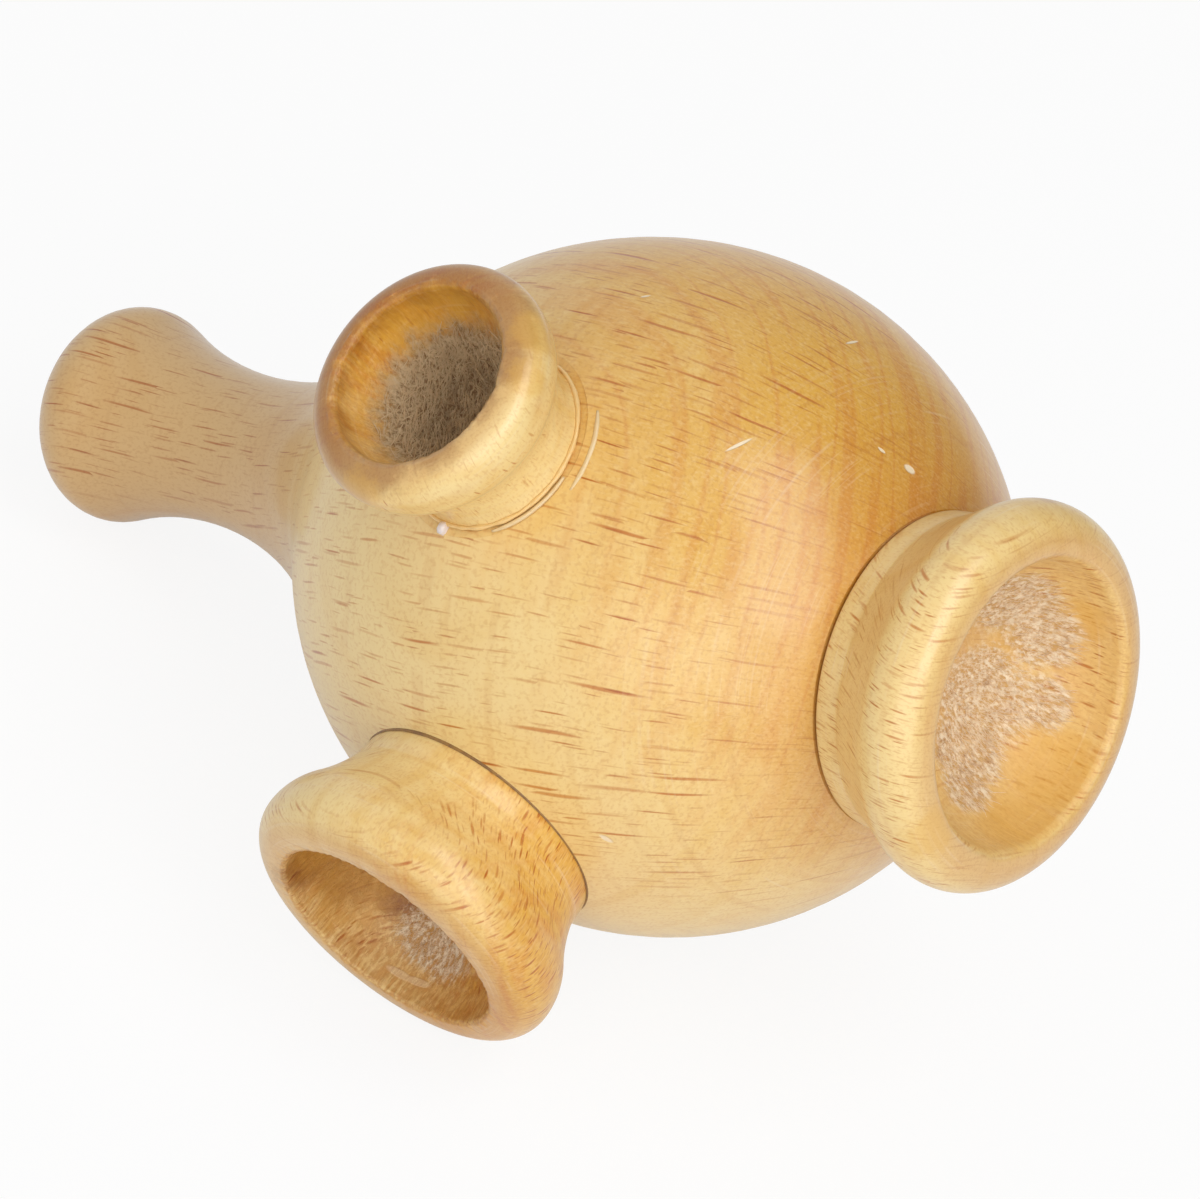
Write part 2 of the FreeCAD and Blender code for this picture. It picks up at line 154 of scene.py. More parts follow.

# The bowls, in millimetres and in each cup's own frame. The first four are spots, (x, y, z, reach).
#   torn     where the tool tore the wood and left it bare
#   amber    where the varnish lies thick inside the bowl, and "runs" where it does so on the rim
#   soaked_and_shade   where the varnish sank in and the wood went brown, and in the medium bowl where the deep wall is painted brown as shade; "soak" how brown
#   fray     how ragged the torn patches' edges are, and "fade" how softly they end
#   strands  how often the torn strands change along the fibres, the rays and across, per millimetre
#   fibres   the settings that colour the fibres' tips and the depth between them
#   wall     how rough and dull the rest of the bowl is; its darkening is partly painted shade
#   cover    how much of a torn patch the bare wood covers at least, and "pile" how high it rises
#   depth_shade     how much the strands deep in the bowl are painted darker and those higher up paler, as painted shade and light
#   lean     the way in which the standing fibres lean
#   stance   how far a fibre follows that way, the wall's normal, and chance
#   ridges   pale ridges that the tool left: both ends, and half the width
BOWLS = {
    "large": {
        "torn": (
            (4.7, -6.4, 4.0, 3.4), (1.5, -8.6, 5.0, 3.0), (-3.2, -4.6, 2.6, 3.9),
            (-4.0, -8.0, 5.4, 2.2), (-6.4, -1.6, 2.9, 3.2), (-8.4, 0.4, 4.6, 2.2),
            (2.0, 0.5, 1.2, 3.5),
        ),
        "amber": (
            (0.6, -6.6, 2.9, 1.9), (-8.4, -6.1, 7.5, 4.6), (-10.6, -1.0, 8.5, 4.2),
            (2.7, -10.0, 7.4, 2.5),
        ),
        "runs": ((-6.0, 11.5, 10.0, 3.0),),
        "soaked_and_shade": ((13.5, -5.5, 6.5, 2.6),),
        "soak": 0.6,
        "fray": 0.9,
        "fade": 0.55,
        "strands": (0.35, 1.7, 1.7),
        "fibres": ("torn", "torn_shade"),
        "wall": 0.25,
        "cover": 0.45,
        "pile": 0.08,
        "depth_shade": 0.0,
        "lean": (0.0, 0.0, 1.0),
        "stance": (1.0, 0.16, 0.25),
        "ridges": (),
    },
    "medium": {
        "torn": ((-3.6, -7.1, 6.8, 2.1), (-1.1, -8.2, 7.3, 2.0), (-2.4, -7.8, 7.4, 1.8)),
        "amber": ((-8.3, -2.5, 8.0, 4.4), (-7.6, 3.5, 8.0, 4.0)),
        "runs": ((5.0, -11.5, 10.0, 3.0),),
        # in the medium bowl these spots are partly painted shade: they darken the deep wall where
        # shade falls
        "soaked_and_shade": (
            (-8.6, 3.0, 9.0, 4.0), (-8.6, -1.4, 7.4, 3.6), (-5.9, -4.4, 5.6, 2.8),
            (-3.0, -5.6, 4.4, 2.4),
        ),
        "soak": 1.0,
        "fray": 1.3,
        "fade": 0.8,
        "strands": (0.5, 2.6, 2.6),
        "fibres": ("torn", "torn_shade"),
        "wall": 0.8,
        "cover": 0.3,
        "pile": 0.1,
        "depth_shade": 0.0,
        "lean": (0.0, 0.0, 1.0),
        "stance": (1.0, 0.3, 0.6),
        "ridges": (
            ((-5.1, -7.9, 10.3), (-3.0, -8.8, 10.2), 0.3),
            ((-3.6, -8.6, 10.25), (-1.6, -9.2, 9.9), 0.3),
        ),
    },
    "small": {
        "torn": ((-0.6, 0.4, 2.4, 7.6),),
        "amber": ((-5.0, 4.4, 8.0, 3.6), (-1.5, 6.6, 9.0, 3.2)),
        "runs": ((9.3, 2.6, 10.4, 2.2), (7.6, 6.0, 10.2, 2.4), (-0.4, -9.6, 9.8, 2.6)),
        "soaked_and_shade": (
            (-2.9, -8.0, 11.4, 3.7), (-6.2, -6.2, 11.4, 3.7), (-8.5, -2.9, 11.1, 3.3),
            (-8.9, 1.0, 11.1, 3.3), (-7.7, 4.6, 11.0, 3.3), (-5.0, 7.4, 10.9, 3.3),
            (-1.5, 8.9, 10.9, 3.3), (2.3, 8.6, 11.0, 2.9), (4.9, 7.3, 11.2, 2.7),
            (6.7, 5.3, 11.3, 2.5), (7.7, 2.8, 11.4, 2.3), (6.4, -0.6, 12.4, 2.8),
            (4.5, -4.8, 12.4, 3.2), (1.0, -7.6, 12.0, 3.5), (-1.2, -9.0, 11.0, 3.1),
        ),
        "soak": 0.68,
        "fray": 0.5,
        "fade": 0.35,
        "strands": (1.6, 2.4, 2.4),
        "fibres": ("felt", "felt_shade"),
        "wall": 0.35,
        "cover": 0.95,
        "pile": 0.3,
        "depth_shade": 1.0,
        "lean": (0.1, 0.9, 0.5),
        "stance": (1.0, 0.5, 0.35),
        "ridges": (),
    },
}


def linear(hex_colour):
    """A six-figure sRGB hex colour as linear red, green, blue and alpha."""
    channels = [int(hex_colour[i : i + 2], 16) / 255 for i in (0, 2, 4)]
    curved = [c / 12.92 if c <= 0.04045 else ((c + 0.055) / 1.055) ** 2.4 for c in channels]
    return [*curved, 1.0]


def colour_prop(name, description, hex_colour):
    """A colour that the user can change."""
    return FloatVectorProperty(
        name=name, description=description, default=linear(hex_colour),
        subtype="COLOR", size=4, min=0.0, max=1.0,
    )


def length_prop(name, description, value):
    """A length that the user can change."""
    return FloatProperty(name=name, description=description, default=value, unit="LENGTH")


def three_lengths(name, description, values):
    """One length for each cup: large, medium, small."""
    return FloatVectorProperty(
        name=name, description=description, default=values, size=3, unit="LENGTH"
    )


class BeechSettings(bpy.types.PropertyGroup):
    straw: colour_prop("Straw", "Palest wood under the varnish", "F4D794")
    honey: colour_prop("Honey", "Usual colour of the varnished wood", "EDC578")
    amber: colour_prop("Amber", "Where the varnish has turned with age", "E2AB40")
    fleck: colour_prop("Ray fleck", "What the rays' dashes leave of the wood's colour", "D0923C")
    # a darker, greyer colour painted on the neck and the knob
    knob_tint: colour_prop("Patina", "What handling leaves of the wood's colour", "E2D2CC")
    end_grain: colour_prop("End grain", "What open pores leave of the wood's colour", "D9B48F")
    # also painted shade on the medium bowl's deep wall
    soaked_and_shade: colour_prop("Soaked wood", "What soaked-in varnish leaves of the colour", "C0A482")
    late: colour_prop("Late wood", "What the end of a year's wood leaves of the colour", "E8A25C")
    torn: colour_prop("Torn fibres", "Torn, unvarnished wood in a bowl", "F6E6CC")
    torn_shade: colour_prop("Torn shade", "Depth between the torn fibres", "BC8E5A")
    felt: colour_prop("Felted fibres", "Tips of the fibres that stand up in a bowl", "DAC39D")
    felt_shade: colour_prop("Felt shade", "Depth between the standing fibres", "907353")
    # partly painted shade: it darkens the inside of the bowls
    wall: colour_prop("Rough wall", "What a rough bowl leaves of the wood's colour", "D8B48C")
    nick: colour_prop("Nick", "Fresh wood in a chip of the varnish", "F6E2BE")
    varnish_roughness: FloatProperty(
        name="Varnish roughness", description="How satin the varnish is",
        default=0.34, min=0.0, max=1.0, subtype="FACTOR",
    )


class CupSettings(bpy.types.PropertyGroup):
    foot_radius: three_lengths(
        "Foot radius", "Radius of the foot and its collar", (0.0125, 0.0103, 0.0072)
    )
    waist_radius: three_lengths(
        "Waist radius", "Radius just above the collar", (0.01205, 0.0102, 0.00715)
    )
    lip_radius: three_lengths("Lip radius", "Widest radius of the lip", (0.0152, 0.0133, 0.00995))
    lip_height: three_lengths(
        "Lip height", "Height of the widest place above the foot", (0.00765, 0.0091, 0.0089)
    )
    under_round: three_lengths(
        "Under round", "Round of the lip's under side", (0.0035, 0.0056, 0.0046)
    )
    over_round: three_lengths(
        "Over round", "Round of the lip's upper side", (0.0031, 0.00295, 0.0024)
    )
    mouth_radius: three_lengths("Mouth radius", "Radius of the mouth", (0.0113, 0.0095, 0.0071))
    mouth_round: three_lengths(
        "Mouth round", "How softly the bowl meets the rim", (0.0009, 0.0004, 0.0006)
    )
    bowl_depth: three_lengths(
        "Bowl depth", "Depth of the bowl below the rim", (0.010, 0.0096, 0.0082)
    )
    flank_radius: three_lengths("Flank radius", "Radius of its hollow arc", (0.034, 0.0133, 0.0042))
    spigot_radius: three_lengths("Spigot radius", "Radius of the spigot", (0.006, 0.005, 0.004))
    spigot_length: three_lengths(
        "Spigot length", "Length of the hidden spigot", (0.008, 0.0075, 0.007)
    )
    wear: three_lengths(
        "Wear", "How ragged the mouth's edge and the bowl are", (0.0001, 0.00032, 0.0003)
    )
    fibre_length: three_lengths("Fibre length", "Length of a torn fibre", (0.0017, 0.0011, 0.0015))
    fibre_thickness: three_lengths(
        "Fibre thickness", "Thickness of a torn fibre", (0.00005, 0.00004, 0.00009)
    )
    fibre_count: IntVectorProperty(
        name="Fibre count", description="How many torn fibres stand in each bowl",
        default=(1100, 200, 1900),
    )
    collar_height: length_prop("Collar height", "Height of the collar at each foot", 0.0008)
    spigot_bevel: length_prop("Spigot bevel", "Bevel at the spigot's end", 0.0006)
    sides: IntProperty(name="Sides", description="Facets round each cup", default=320, min=32)


class GlueSettings(bpy.types.PropertyGroup):
    seeped: colour_prop("Seeped glue", "Clear glue that lies as a film on the wood", "F0CC8A")
    clear: colour_prop("Clear glue", "Glue drawn out into threads", "E8CFA0")
    pale: colour_prop("Pale glue", "Glue that has dried whitish", "E9E2E4")
    # dark brown painted on the glue at the large and medium cups' joints
    joint_brown: colour_prop("Joint dirt", "Dust that the open joint has caught", "876239")
    ring_radius: length_prop("Ring radius", "Radius of the glue ring round the small cup", 0.0073)
    ring_thickness: length_prop("Ring thickness", "Thickness of the squeezed-out glue", 0.0004)


class StageSettings(bpy.types.PropertyGroup):
    paper: colour_prop("Paper", "Colour of the floor", "F4F4F4")
    window_power: FloatProperty(
        name="Window", description="Power of the window light", default=4.9, unit="POWER"
    )
    fill_power: FloatProperty(
        name="Fill", description="Power of the soft front light", default=4.8, unit="POWER"
    )
    sky: FloatProperty(
        name="Sky", description="Strength of the light from all round", default=0.69, min=0.0
    )


def node(tree, kind, settings=(), **links):
    """Adds one node. settings are its own properties. links go to its inputs by name, with spaces
    as underscores, or by number after an underscore: a node or socket is linked, and a plain value
    is set."""
    made = tree.nodes.new(kind)
    for key, value in dict(settings).items():
        setattr(made, key, value)
    shown = [socket for socket in made.inputs if socket.enabled]
    for key, value in links.items():
        if key[1:].isdigit():
            socket = shown[int(key[1:])]
        else:
            socket = next(s for s in shown if s.name == key.replace("_", " "))
        if isinstance(value, bpy.types.Node):
            value = next(s for s in value.outputs if s.enabled)
        if isinstance(value, bpy.types.NodeSocket):
            tree.links.new(value, socket)
        else:
            socket.default_value = value
    return made


MATH, VECTOR = "ShaderNodeMath", "ShaderNodeVectorMath"
RANGE, MIX, NOISE = "ShaderNodeMapRange", "ShaderNodeMix", "ShaderNodeTexNoise"
MAPPING, INTO = "ShaderNodeMapping", {"vector_type": "TEXTURE"}
SPLIT, JOIN = "ShaderNodeSeparateXYZ", "ShaderNodeCombineXYZ"
SOFT = {"interpolation_type": "SMOOTHSTEP"}
OVER, TIMES = {"data_type": "RGBA"}, {"data_type": "RGBA", "blend_type": "MULTIPLY"}
ADD, SUBTRACT, MULTIPLY, MULTIPLY_ADD, MAXIMUM, ABSOLUTE, LENGTH, DISTANCE, DOT = (
    {"operation": name}
    for name in (
        "ADD", "SUBTRACT", "MULTIPLY", "MULTIPLY_ADD", "MAXIMUM", "ABSOLUTE",
        "LENGTH", "DISTANCE", "DOT_PRODUCT",
    )
)


def new_material(name):
    mat = bpy.data.materials.new(name)
    mat.use_nodes = True
    mat.node_tree.nodes.clear()
    return mat, mat.node_tree


def ray_flecks(tree, wood, drift, pitch, half, light, dark):
    """Ribbons scattered through the blank, so that each side shows them as it cuts them.

    pitch is their spacing and half their half-size, in millimetres along the fibres, along the
    rays and across the rays. Gives how dark a fleck is at each point, from light to dark.
    """
    cells = node(tree, VECTOR, {"operation": "DIVIDE"}, _0=wood, _1=pitch)
    moved = node(tree, VECTOR, ADD, _0=cells, _1=drift)
    scatter = node(tree, "ShaderNodeTexVoronoi", Vector=moved, Scale=1.0, Randomness=1.0)
    away = node(tree, VECTOR, SUBTRACT, _0=moved, _1=scatter.outputs["Position"])
    per_half = tuple(p / h for p, h in zip(pitch, half))
    scaled = node(tree, VECTOR, MULTIPLY, _0=away, _1=per_half)
    reach = node(tree, VECTOR, LENGTH, _0=scaled)
    chance = node(tree, "ShaderNodeSeparateColor", Color=scatter.outputs["Color"])
    size = node(tree, RANGE, Value=chance.outputs[0], To_Min=1.9, To_Max=0.75)
    fitted = node(tree, MATH, MULTIPLY, _0=reach, _1=size)
    mask = node(tree, RANGE, SOFT, Value=fitted, From_Min=1.0, From_Max=0.35)
    weight = node(tree, RANGE, Value=chance.outputs[1], To_Min=light, To_Max=dark)
    return node(tree, MATH, MULTIPLY, _0=mask, _1=weight)


def stretched_noise(tree, wood, per_mm, seed, detail=2.0, roughness=0.55, distortion=0.0):
    """Noise that changes at its own rate, per millimetre, along each of the grain's axes."""
    scaled = node(tree, VECTOR, MULTIPLY, _0=wood, _1=per_mm)
    moved = node(tree, VECTOR, ADD, _0=scaled, _1=(seed, seed, seed))
    return node(
        tree, NOISE,
        Vector=moved, Scale=1.0, Detail=detail, Roughness=roughness, Distortion=distortion,
    ).outputs[0]


def spots(tree, own, places, edge, fray, fade, most=1.0):
    """Patches round the given places, (x, y, z, reach) in the piece's own millimetres, whose edge
    is frayed by a noise and fades. Gives most inside and 0 outside."""
    nearest = None
    for *centre, reach in places:
        away = node(tree, VECTOR, DISTANCE, _0=own, _1=centre)
        near = node(
            tree, RANGE, {"clamp": False}, Value=away, From_Max=reach, To_Min=1.0, To_Max=0.0
        )
        nearest = near if nearest is None else node(tree, MATH, MAXIMUM, _0=near, _1=nearest)
    ragged = node(tree, MATH, MULTIPLY_ADD, _0=edge, _1=fray, _2=nearest)
    # half of the fray is the noise's mean, so the patches keep their size
    mean = fray * 0.5
    return node(tree, RANGE, SOFT, Value=ragged, From_Min=mean, From_Max=mean + fade, To_Max=most)


def scratches(tree, metres, marks, place, middle):
    """Small marks on a surface that lies round the middle: both ends in millimetres, and half the
    width. The marks and the middle are given in the frame of place."""
    worn = None
    for *ends, width in marks:
        start, end = (place @ (Vector(spot) * MM) for spot in ends)
        way = end - start
        inside = node(
            tree, MAPPING, INTO, Vector=metres, Location=(start + end) / 2,
            Rotation=upright(start - place @ middle, way).to_euler(),
            Scale=(way.length / 2, width * MM, MM),
        )
        reach = node(tree, VECTOR, LENGTH, _0=inside)
        mark = node(tree, RANGE, SOFT, Value=reach, From_Min=1.3, From_Max=0.8)
        worn = mark if worn is None else node(tree, MATH, MAXIMUM, _0=worn, _1=mark)
    return worn


def lathe_rings(tree, own):
    """What the turning tool left: the height along the turning axis, and how far a point is inside
    a coarse dark ring and a fine pale one.

    Both follow the distance from the axis and the height along it, and come and go.
    """
    parts = node(tree, SPLIT, Vector=own)
    height = parts.outputs[2]
    flat = node(tree, JOIN, X=parts.outputs[0], Y=parts.outputs[1])
    radius = node(tree, VECTOR, LENGTH, _0=flat)
    ring = node(tree, JOIN, X=radius, Y=height)
    coarse = node(tree, NOISE, Vector=ring, Scale=0.75, Detail=1.0)
    fine = node(tree, NOISE, Vector=ring, Scale=3.2, Detail=2.0, Roughness=0.6)
    where = node(tree, NOISE, Vector=own, Scale=0.2, Detail=2.0)
    dark = node(tree, RANGE, SOFT, Value=coarse, From_Min=0.53, From_Max=0.66)
    pale = node(tree, RANGE, SOFT, Value=fine, From_Min=0.50, From_Max=0.70)
    here = node(tree, RANGE, SOFT, Value=where, From_Min=0.42, From_Max=0.62)
    there = node(tree, RANGE, SOFT, Value=where, From_Min=0.56, From_Max=0.40)
    dark = node(tree, MATH, MULTIPLY, _0=dark, _1=there)
    pale = node(tree, MATH, MULTIPLY, _0=pale, _1=here)
    return height, dark, pale


def wood_grain(tree, metres, piece, place):
    """How far each point lies along the fibres, from the pith and across the rays, in mm."""
    straight = node(
        tree, MAPPING, INTO, Vector=metres, Location=place.translation,
        Rotation=GRAIN[piece].to_euler(), Scale=(MM, MM, MM),
    )
    # the fibres wander by half a millimetre over a centimetre
    sway = node(tree, NOISE, Vector=straight, Scale=0.07, Detail=2.0)
    centred = node(tree, VECTOR, SUBTRACT, _0=sway.outputs["Color"], _1=(0.5, 0.5, 0.5))
    wander = node(tree, VECTOR, MULTIPLY, _0=centred, _1=(0.0, 1.4, 1.4))
    swayed = node(tree, VECTOR, ADD, _0=straight, _1=wander)
    # the rays fan out from the pith, which lies this far behind the piece
    pith = LOOKS[piece]["pith"]
    lengths = node(tree, SPLIT, Vector=swayed)
    outward = node(tree, MATH, ADD, _0=lengths.outputs[1], _1=pith)
    angle = node(tree, MATH, {"operation": "ARCTAN2"}, _0=lengths.outputs[2], _1=outward)
    arc = node(tree, MATH, MULTIPLY, _0=angle, _1=pith)
    spread = node(tree, JOIN, Y=outward, Z=lengths.outputs[2])
    from_pith = node(tree, VECTOR, LENGTH, _0=spread)
    return node(tree, JOIN, X=lengths.outputs[0], Y=from_pith, Z=arc)


def how_cut(tree, normal, piece):
    """How well the flecks show and how far the fibres end at the surface. Where it lies along the
    ribbons, or cuts the fibres square, flecks hardly show."""
    flat = node(tree, VECTOR, DOT, _0=normal, _1=GRAIN[piece].col[2])
    along = flat if piece == "body" else node(tree, MATH, ABSOLUTE, _0=flat)
    shows = node(tree, RANGE, SOFT, Value=along, From_Min=0.95, From_Max=0.7, To_Min=0.12)
    facing = node(tree, VECTOR, DOT, _0=normal, _1=GRAIN[piece].col[0])
    ends = node(tree, MATH, ABSOLUTE, _0=facing)
    square = node(
        tree, RANGE, SOFT, Value=ends, From_Min=0.5, From_Max=0.9, To_Min=1.0, To_Max=0.3
    )
    shows = node(tree, MATH, MULTIPLY, _0=shows, _1=square)
    return shows, node(tree, RANGE, SOFT, Value=ends, From_Min=0.6, From_Max=1.0, To_Max=0.5)


def rough_bowl(tree, cup, place, metres, own, wood, height):
    """What the torn bowl adds to a cup's wood: tints, marks of its relief, how far a point is
    inside the bowl, and how far inside a torn patch."""
    beech = bpy.context.scene.cupped_ball_beech
    bowl = BOWLS[cup]
    middle, wall = bowl_wall(cup)
    off_wall = node(tree, VECTOR, DISTANCE, _0=own, _1=middle / MM)
    inside = node(
        tree, RANGE, SOFT, Value=off_wall, From_Min=wall / MM + 0.5, From_Max=wall / MM + 0.1
    )
    edge = stretched_noise(tree, wood, (0.15, 1.0, 1.0), 3.0, detail=4.0, roughness=0.7)
    nap = stretched_noise(tree, wood, (0.35, 3.0, 3.0), 8.0, detail=4.0, roughness=0.7)
    coarse = node(tree, RANGE, SOFT, Value=nap, From_Min=0.62, From_Max=0.4, To_Min=0.25)
    # the rest of the bowl is painted duller and darker: partly the bare wood's tone, partly painted
    # shade in the hollow
    dull = node(tree, MATH, MULTIPLY, _0=inside, _1=coarse)
    dull = node(tree, MATH, MULTIPLY, _0=dull, _1=bowl["wall"])
    # brown spots: soaked-in varnish, and in the medium bowl painted shade on the deep wall
    soaked_and_shade = spots(tree, own, bowl["soaked_and_shade"], edge, 0.7, 0.5, most=bowl["soak"])
    thick = spots(tree, own, bowl["amber"], edge, 0.9, 0.5, most=0.4)
    thick = node(tree, MATH, MULTIPLY, _0=thick, _1=inside)
    runs = spots(tree, own, bowl["runs"], edge, 0.9, 0.5, most=0.4)
    thick = node(tree, MATH, MAXIMUM, _0=thick, _1=runs)

    # torn strands lie along the grain and fray out where the tearing stops
    strand = stretched_noise(tree, wood, bowl["strands"], 6.0, distortion=0.8)
    off = node(tree, MATH, SUBTRACT, _0=strand, _1=0.5)
    thread = node(tree, MATH, ABSOLUTE, _0=off)
    hair = node(tree, RANGE, SOFT, Value=thread, From_Min=0.07, From_Max=0.0)
    # painted light and shade: strands higher up in the bowl are painted paler, as lit, and those
    # deep in it darker, as shaded
    bottom, depth_shade = (middle.z - wall) / MM, bowl["depth_shade"]
    painted_lift = node(
        tree, RANGE, Value=height, From_Min=bottom + 0.5, From_Max=bottom + 3.0, To_Max=0.1 * depth_shade
    )
    lit = node(tree, MATH, ADD, _0=nap, _1=painted_lift)
    depth_shade_shift = 0.06 * depth_shade
    pale = node(tree, RANGE, SOFT, Value=lit, From_Min=0.38 + depth_shade_shift, From_Max=0.62 + depth_shade_shift)
    tip, pit = (getattr(beech, fibres) for fibres in bowl["fibres"])
    bare = node(tree, MIX, OVER, Factor=pale, A=pit, B=tip)
    half_hair = node(tree, MATH, MULTIPLY, _0=hair, _1=0.5)
    bare = node(tree, MIX, OVER, Factor=half_hair, A=bare, B=tip)
    frayed = node(tree, MATH, MULTIPLY_ADD, _0=nap, _1=0.5, _2=edge)
    torn = spots(tree, own, bowl["torn"], frayed, bowl["fray"], bowl["fade"])
    torn = node(tree, MATH, MULTIPLY, _0=torn, _1=inside)
    shown = node(
        tree, RANGE, Value=nap, From_Min=0.35, From_Max=0.6, To_Min=bowl["cover"], To_Max=0.95
    )
    shown = node(tree, MATH, MULTIPLY, _0=torn, _1=shown)
    raised = node(tree, MATH, MULTIPLY, _0=nap, _1=bowl["pile"])
    pile = node(tree, MATH, MULTIPLY_ADD, _0=hair, _1=0.03, _2=raised)

    tints = [
        (TIMES, dull, beech.wall), (TIMES, soaked_and_shade, beech.soaked_and_shade),
        (OVER, thick, beech.amber), (OVER, shown, bare),
    ]
    marks = [(pile, torn), (dull, -0.05)]
    if bowl["ridges"]:
        ridges = scratches(tree, metres, bowl["ridges"], place, middle)
        pale_ridges = node(tree, MATH, MULTIPLY, _0=ridges, _1=0.35)
        tints.append((OVER, pale_ridges, beech.nick))
        marks.append((ridges, 0.03))
    return tints, marks, inside, torn


def varnished_beech(name, piece, place):
    """Steamed beech, turned on a lathe and varnished: honey-coloured wood with short brown ray
    flecks along the fibres, darker where the end grain drank the varnish, under a thin satin skin.
    In a cup's bowl the tool tore the fibres, and the bare, dull wood shows."""
    beech = bpy.context.scene.cupped_ball_beech
    look = LOOKS[piece]
    mat, tree = new_material(name)
    coords = node(tree, "ShaderNodeTexCoord")
    metres = coords.outputs["Object"]
    own = node(
        tree, MAPPING, INTO, Vector=metres, Location=place.translation,
        Rotation=place.to_euler(), Scale=(MM, MM, MM),
    )
    wood = wood_grain(tree, metres, piece, place)
    height, dark_rings, pale_rings = lathe_rings(tree, own)
    shows, end_grain = how_cut(tree, coords.outputs["Normal"], piece)
    bold, fine = (
        node(tree, MATH, MULTIPLY, _0=ray_flecks(tree, wood, drift, *look[kind]), _1=shows)
        for kind, drift in (("bold", (0.0, 0.0, 0.0)), ("fine", (3.1, 4.7, 1.9)))
    )
    fibre = stretched_noise(tree, wood, (0.9, 3.0, 7.0), 2.0, detail=3.0)
    mottle = stretched_noise(tree, wood, (1.1, 0.45, 0.5), 9.0)
    ring = stretched_noise(tree, wood, (0.012, 0.6, 0.05), 5.0, detail=1.0)
    tone = stretched_noise(tree, wood, (0.05, 0.09, 0.09), 7.0)
    # pores are finer than a pixel: they are drawn 0.2 mm wide, so that they show as a grain
    pores = stretched_noise(tree, wood, (2.6, 5.0, 5.0), 4.0, detail=1.0)
    speckle = node(tree, RANGE, Value=pores, From_Min=0.5, From_Max=0.7, To_Max=0.22)

    # painted light and shade: towards one side the wood turns from honey to darker amber, partly
    # its own uneven tone and partly painted shade, and the paler side is partly painted light; the
    # turn is uneven by this many millimetres
    way, start, end = look["amber_and_shade_side"]
    broad, small = 26.0, 14.0
    towards = node(tree, VECTOR, DOT, _0=own, _1=way)
    uneven = node(tree, MATH, MULTIPLY_ADD, _0=tone, _1=broad, _2=towards)
    blotched = node(tree, MATH, MULTIPLY_ADD, _0=mottle, _1=small, _2=uneven)
    mean = (broad + small) / 2
    amber_and_shade = node(tree, RANGE, SOFT, Value=blotched, From_Min=start + mean, From_Max=end + mean)
    to_honey = node(tree, RANGE, Value=amber_and_shade, From_Max=0.5)
    to_amber = node(tree, RANGE, Value=amber_and_shade, From_Min=0.5)

    year = node(tree, RANGE, SOFT, Value=ring, From_Min=0.5, From_Max=0.7, To_Max=0.25)
    # each year's wood ends in a thin darker line
    off = node(tree, MATH, SUBTRACT, _0=ring, _1=0.5)
    last = node(tree, MATH, ABSOLUTE, _0=off)
    line = node(tree, RANGE, SOFT, Value=last, From_Min=0.07, From_Max=0.0, To_Max=0.3)
    line = node(tree, MATH, MULTIPLY, _0=line, _1=amber_and_shade)
    streak = node(tree, RANGE, SOFT, Value=fibre, From_Min=0.42, From_Max=0.78, To_Max=0.4)
    rings = node(tree, MATH, MULTIPLY, _0=dark_rings, _1=0.12)
    if piece == "body":
        near_seat = node(tree, RANGE, SOFT, Value=height, From_Min=11.0, From_Max=22.0)
        pale_rings = node(tree, MATH, MULTIPLY, _0=pale_rings, _1=near_seat)
    scuffs = node(tree, MATH, MULTIPLY, _0=pale_rings, _1=0.22)

    # how each tint is mixed, where it lies and its colour, and where each mark lies and how far it
    # rises, in millimetres
    tints = [
        (OVER, to_honey, beech.honey), (OVER, to_amber, beech.amber), (OVER, year, beech.amber),
        (TIMES, line, beech.late), (OVER, streak, beech.straw), (TIMES, rings, beech.fleck),
        (TIMES, speckle, beech.fleck), (TIMES, end_grain, beech.end_grain),
        (TIMES, fine, beech.fleck), (TIMES, bold, beech.fleck), (OVER, scuffs, beech.nick),
    ]
    marks = [(bold, -0.018), (pale_rings, 0.008), (dark_rings, -0.01)]
    satin = beech.varnish_roughness
    rough = node(tree, RANGE, Value=fibre, To_Min=satin - 0.06, To_Max=satin + 0.10)
    skin = VARNISH_WEIGHT
    if piece == "body":
        # the neck and the knob are painted darker and greyer
        towards_knob = node(tree, RANGE, SOFT, Value=height, From_Min=-22.0, From_Max=-36.0)
        nicks = scratches(tree, metres, NICKS, Matrix.Identity(4), BALL_CENTRE)
        tints += [(TIMES, towards_knob, beech.knob_tint), (OVER, nicks, beech.nick)]
        marks.append((nicks, -0.05))
    else:
        more_tints, more_marks, inside, torn = rough_bowl(
            tree, piece, place, metres, own, wood, height
        )
        tints += more_tints
        marks += more_marks
        # little varnish is left inside the bowl, and none where it is torn
        for where, rise in ((torn, 0.5), (inside, 0.12)):
            rough = node(tree, MATH, MULTIPLY_ADD, _0=where, _1=rise, _2=rough)
        bared = node(tree, MATH, MULTIPLY, _0=inside, _1=0.75)
        bared = node(tree, MATH, MAXIMUM, _0=torn, _1=bared)
        skin = node(tree, RANGE, Value=bared, To_Min=VARNISH_WEIGHT, To_Max=0.0)

    colour = beech.straw
    for blend, where, tint in tints:
        colour = node(tree, MIX, blend, Factor=where, A=colour, B=tint)
    relief = node(tree, MATH, MULTIPLY, _0=fibre, _1=0.006)
    for where, rise in marks:
        relief = node(tree, MATH, MULTIPLY_ADD, _0=where, _1=rise, _2=relief)
    bump = node(tree, "ShaderNodeBump", Strength=1.0, Distance=MM, Height=relief)
    shader = node(
        tree, "ShaderNodeBsdfPrincipled",
        Base_Color=colour, Roughness=rough, IOR=1.5, Normal=bump,
        Coat_Weight=skin, Coat_Roughness=0.2, Coat_IOR=1.5,
    )
    node(tree, "ShaderNodeOutputMaterial", Surface=shader)
    return mat


